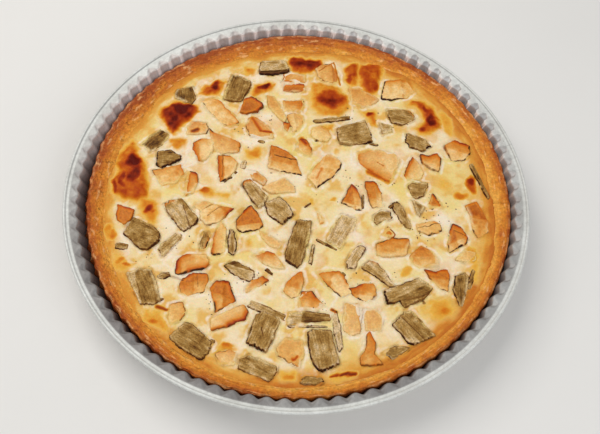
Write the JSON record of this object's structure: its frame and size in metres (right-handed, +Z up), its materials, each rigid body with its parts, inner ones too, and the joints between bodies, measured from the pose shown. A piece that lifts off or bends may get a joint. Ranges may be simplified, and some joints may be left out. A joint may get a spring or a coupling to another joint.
{
  "type": "rhubarb tart in its tin",
  "caption": "Round baked rhubarb and apple tart with a custard filling and a pastry rim, in its shallow fluted metal tart tin.",
  "frame": {"origin": "middle of the tin's base, on the surface that the tin stands on", "axes": "+Z up through the middle of the tart; the picture looks along +Y from above, with +X to the right"},
  "size_m": [0.29, 0.29, 0.03],
  "materials": {
    "tin_metal": "dull pale tinned sheet, lightly scratched",
    "baked_pastry": "baked shortcrust pastry, golden brown, craggy",
    "baked_custard": "baked custard, cream with browned blisters",
    "rhubarb_flesh": "cooked rhubarb, khaki with lengthwise fibres",
    "apple_flesh": "baked apple, pale tan with toasted edges"
  },
  "bodies": {
    "root": {"tart_tin": "tin_metal", "pastry_crust": "baked_pastry", "custard_filling": "baked_custard", "rhubarb_01": "rhubarb_flesh", "rhubarb_02": "rhubarb_flesh", "rhubarb_03": "rhubarb_flesh", "rhubarb_04": "rhubarb_flesh", "rhubarb_05": "rhubarb_flesh", "rhubarb_06": "rhubarb_flesh", "rhubarb_07": "rhubarb_flesh", "rhubarb_08": "rhubarb_flesh", "rhubarb_09": "rhubarb_flesh", "rhubarb_10": "rhubarb_flesh", "rhubarb_11": "rhubarb_flesh", "rhubarb_12": "rhubarb_flesh", "rhubarb_13": "rhubarb_flesh", "rhubarb_14": "rhubarb_flesh", "rhubarb_15": "rhubarb_flesh", "rhubarb_16": "rhubarb_flesh", "rhubarb_17": "rhubarb_flesh", "rhubarb_18": "rhubarb_flesh", "rhubarb_19": "rhubarb_flesh", "rhubarb_20": "rhubarb_flesh", "rhubarb_21": "rhubarb_flesh", "rhubarb_22": "rhubarb_flesh", "rhubarb_23": "rhubarb_flesh", "rhubarb_24": "rhubarb_flesh", "rhubarb_25": "rhubarb_flesh", "rhubarb_26": "rhubarb_flesh", "rhubarb_27": "rhubarb_flesh", "rhubarb_28": "rhubarb_flesh", "rhubarb_29": "rhubarb_flesh", "rhubarb_30": "rhubarb_flesh", "rhubarb_31": "rhubarb_flesh", "apple_01": "apple_flesh", "apple_02": "apple_flesh", "apple_03": "apple_flesh", "apple_04": "apple_flesh", "apple_05": "apple_flesh", "apple_06": "apple_flesh", "apple_07": "apple_flesh", "apple_08": "apple_flesh", "apple_09": "apple_flesh", "apple_10": "apple_flesh", "apple_11": "apple_flesh", "apple_12": "apple_flesh", "apple_13": "apple_flesh", "apple_14": "apple_flesh", "apple_15": "apple_flesh", "apple_16": "apple_flesh", "apple_17": "apple_flesh", "apple_18": "apple_flesh", "apple_19": "apple_flesh", "apple_20": "apple_flesh", "apple_21": "apple_flesh", "apple_22": "apple_flesh", "apple_23": "apple_flesh", "apple_24": "apple_flesh", "apple_25": "apple_flesh", "apple_26": "apple_flesh"}
  },
  "joints": []
}
